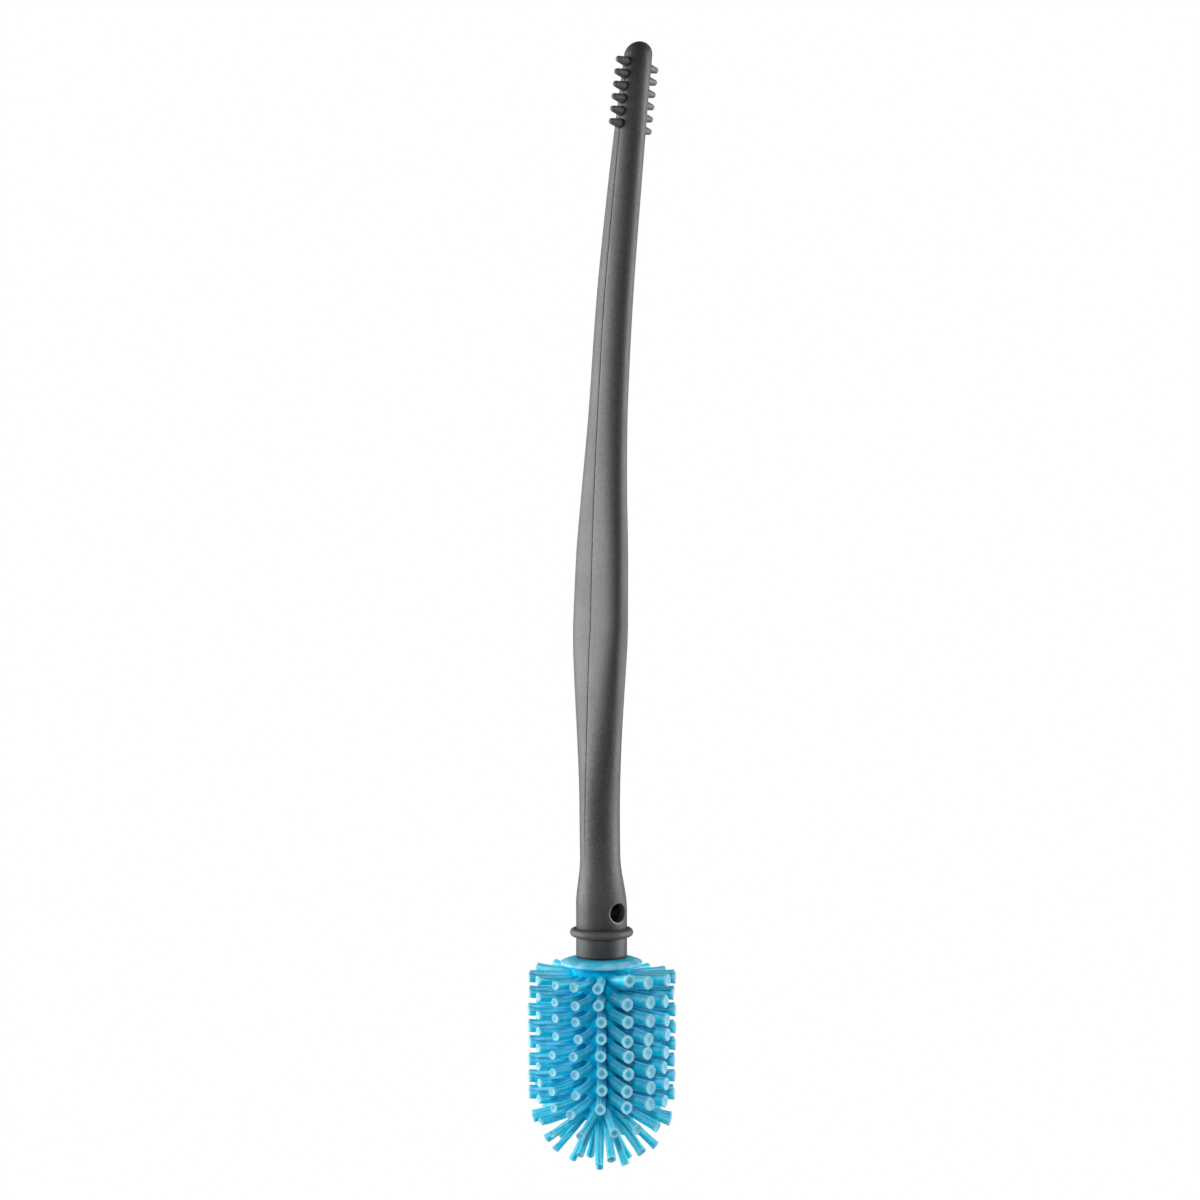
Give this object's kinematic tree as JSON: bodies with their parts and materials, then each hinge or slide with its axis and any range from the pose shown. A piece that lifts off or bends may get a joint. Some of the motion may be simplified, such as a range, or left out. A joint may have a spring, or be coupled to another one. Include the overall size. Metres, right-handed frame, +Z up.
{
  "type": "bottle brush",
  "caption": "Slim bottle brush with a swept flat-oval plastic handle, a nubbed tip and a pull-off round head of soft silicone fingers with a domed end.",
  "frame": {"origin": "centre of the hanging hole, on the axis that the head and the bell share", "axes": "+Z up the handle, away from the head; Y along the hanging hole; the handle's tip leans towards +X"},
  "size_m": [0.0487, 0.0474, 0.3637],
  "materials": {
    "handle_plastic": "fine matt grain, dark neutral grey",
    "head_silicone": "satin translucent silicone, cyan blue"
  },
  "bodies": {
    "handle": {"handle": "handle_plastic"},
    "silicone_head": {"head_flange": "head_silicone", "finger_row_1": "head_silicone", "finger_row_2": "head_silicone", "finger_row_3": "head_silicone", "finger_row_4": "head_silicone", "finger_row_5": "head_silicone", "finger_row_6": "head_silicone", "finger_row_7": "head_silicone", "finger_row_8": "head_silicone", "finger_dome": "head_silicone"}
  },
  "joints": [
    {"name": "head_pull_off", "type": "slide", "parent": "handle", "child": "silicone_head", "axis": [0, 0, -1], "range_m": [0, 0.055]}
  ]
}
